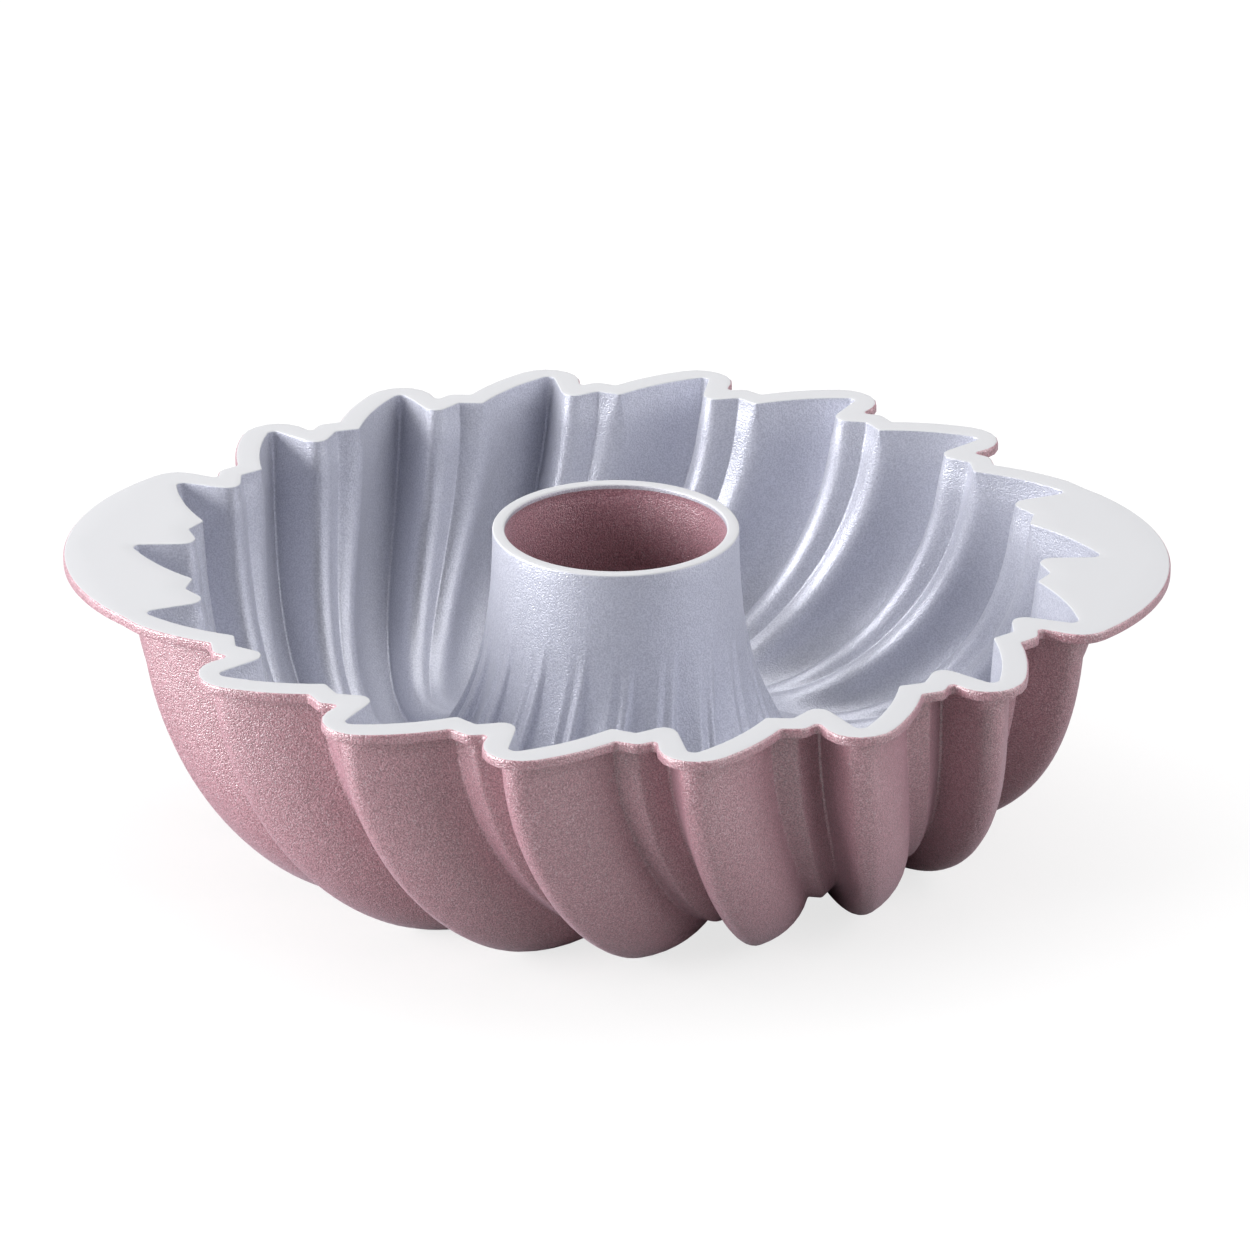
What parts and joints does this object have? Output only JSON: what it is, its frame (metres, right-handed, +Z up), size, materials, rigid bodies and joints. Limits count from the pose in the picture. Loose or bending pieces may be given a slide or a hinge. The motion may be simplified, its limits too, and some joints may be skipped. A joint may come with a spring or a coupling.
{
  "type": "fluted tube cake pan",
  "caption": "Round cast aluminium ring cake pan with deep swirled flutes, an open centre tube and two crescent handles on its rim, grey non-stick inside and rose outside.",
  "frame": {"origin": "on the table under the axis of the centre tube", "axes": "+Z up along the tube, +X towards one handle, +Y across the handles"},
  "size_m": [0.279, 0.2524, 0.0785],
  "materials": {
    "cast_aluminium": "as cast, under the coatings",
    "nonstick_grey": "satin, fine spray grain",
    "rose_coat": "satin metallic, fine sandy grain"
  },
  "bodies": {
    "root": {"cast_body": "cast_aluminium", "nonstick_coating": "nonstick_grey", "outer_coating": "rose_coat"}
  },
  "joints": []
}
